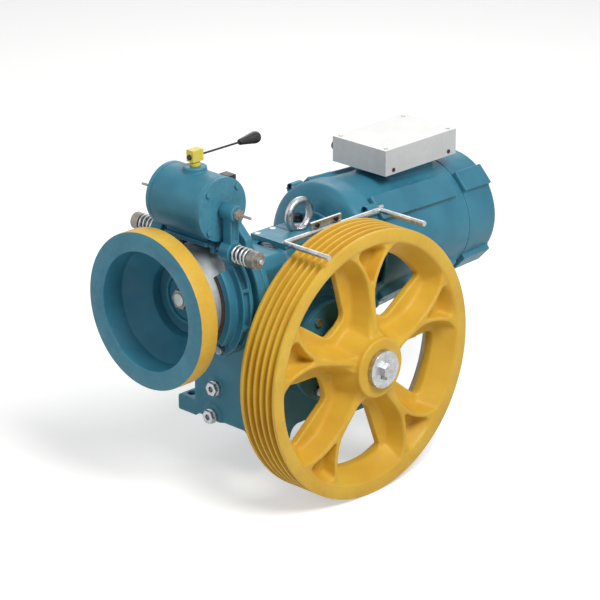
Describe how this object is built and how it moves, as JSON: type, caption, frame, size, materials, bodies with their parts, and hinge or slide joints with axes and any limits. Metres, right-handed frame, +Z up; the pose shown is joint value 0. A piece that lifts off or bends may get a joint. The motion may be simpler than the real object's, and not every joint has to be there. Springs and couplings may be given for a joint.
{
  "type": "elevator traction machine",
  "caption": "Geared elevator machine: worm casing on feet, grooved rope sheave, flange motor, handwheel on a brake drum and a magnet brake with two arms.",
  "frame": {"origin": "middle of the four foot bolt holes, on the plane that the feet stand on", "axes": "+X along the sheave shaft towards the sheave, +Y along the worm shaft towards the motor's fan, +Z up"},
  "size_m": [0.4532, 0.8418, 0.6818],
  "materials": {
    "teal_paint": "semi-gloss machine paint",
    "yellow_paint": "semi-gloss machine paint",
    "white_paint": "powder coat",
    "steel": "zinc plated or turned",
    "ground_iron": "ground",
    "raw_iron": "as cast",
    "laminations": "stacked sheet steel",
    "bronze": "machined bronze",
    "copper": "enamelled wire",
    "friction_lining": "woven friction lining",
    "rubber": "matt",
    "black_plastic": "moulded"
  },
  "bodies": {
    "frame": {"gear_housing": "teal_paint", "top_cover": "teal_paint", "bearing_flange": "teal_paint", "far_cover": "teal_paint", "casing_bolts": "steel", "shaft_bearings": "steel", "worm_bearings": "steel", "shaft_seal": "rubber", "oil_plugs": "steel", "filler_cap": "black_plastic", "lifting_eye": "steel", "guard_rod": "steel", "guard_bar": "steel", "guard_bolts": "steel", "brake_carrier": "teal_paint", "pivot_pins": "steel", "tie_rod": "steel", "spring_cups": "steel", "right_spring": "steel", "left_spring": "steel", "magnet_housing": "teal_paint", "magnet_covers": "teal_paint", "magnet_bolts": "steel", "magnet_coil": "copper", "magnet_plug": "black_plastic", "motor_bell": "teal_paint", "motor_frame": "teal_paint", "stator": "laminations", "fan_cowl": "teal_paint", "motor_bolts": "steel", "terminal_base": "steel", "terminal_cover": "white_paint", "terminal_screws": "steel", "terminal_block": "black_plastic", "cable_gland": "black_plastic"},
    "sheave": {"slow_shaft": "steel", "wheel_hub": "raw_iron", "worm_wheel": "bronze", "sheave": "yellow_paint", "shaft_keys": "steel", "end_cap": "steel", "end_cap_bolt": "steel"},
    "worm": {"worm_shaft": "steel", "brake_drum": "ground_iron", "handwheel": "teal_paint", "handwheel_nut": "steel", "coupling": "steel", "motor_rotor": "laminations", "cooling_fan": "black_plastic"},
    "right_arm": {"right_arm": "teal_paint", "right_lining": "friction_lining", "right_screw": "steel"},
    "left_arm": {"left_arm": "teal_paint", "left_lining": "friction_lining", "left_screw": "steel"},
    "right_plunger": {"right_plunger": "steel"},
    "left_plunger": {"left_plunger": "steel"},
    "release_lever": {"release_lever": "yellow_paint", "release_rod": "steel", "release_knob": "black_plastic"}
  },
  "joints": [
    {"name": "sheave_spin", "type": "hinge", "parent": "frame", "child": "sheave", "pos_m": [0.237, -0.02125, 0.174], "axis": [1, 0, 0], "continuous": true},
    {"name": "worm_spin", "type": "hinge", "parent": "frame", "child": "worm", "pos_m": [0.041, -0.25, 0.314], "axis": [0, 1, 0], "continuous": true},
    {"name": "lever_turn", "type": "hinge", "parent": "frame", "child": "release_lever", "pos_m": [0.041, -0.24155, 0.57], "axis": [0, 0, 1], "range_deg": [0, 30]},
    {"name": "right_arm_swing", "type": "hinge", "parent": "frame", "child": "right_arm", "pos_m": [0.113, -0.24155, 0.226], "axis": [0, 1, 0], "range_deg": [0, 0.5], "stiffness_Nm_per_rad": 1100, "springref_deg": -1.72, "deforming": ["right_spring"]},
    {"name": "left_arm_swing", "type": "hinge", "parent": "frame", "child": "left_arm", "pos_m": [-0.031, -0.24155, 0.226], "axis": [0, -1, 0], "range_deg": [0, 0.5], "stiffness_Nm_per_rad": 1100, "springref_deg": -1.72, "deforming": ["left_spring"]},
    {"name": "right_push", "type": "slide", "parent": "frame", "child": "right_plunger", "axis": [1, 0, 0], "range_m": [0, 0.0024]},
    {"name": "left_push", "type": "slide", "parent": "frame", "child": "left_plunger", "axis": [-1, 0, 0], "range_m": [0, 0.0024]}
  ],
  "couplings": [
    {"joint": "worm_spin", "follows": "sheave_spin", "ratio": 40},
    {"joint": "right_arm_swing", "follows": "lever_turn", "ratio": 0.0166},
    {"joint": "left_arm_swing", "follows": "lever_turn", "ratio": 0.0166},
    {"joint": "right_push", "follows": "lever_turn", "m_per_rad": 0.00446},
    {"joint": "left_push", "follows": "lever_turn", "m_per_rad": 0.00446}
  ]
}
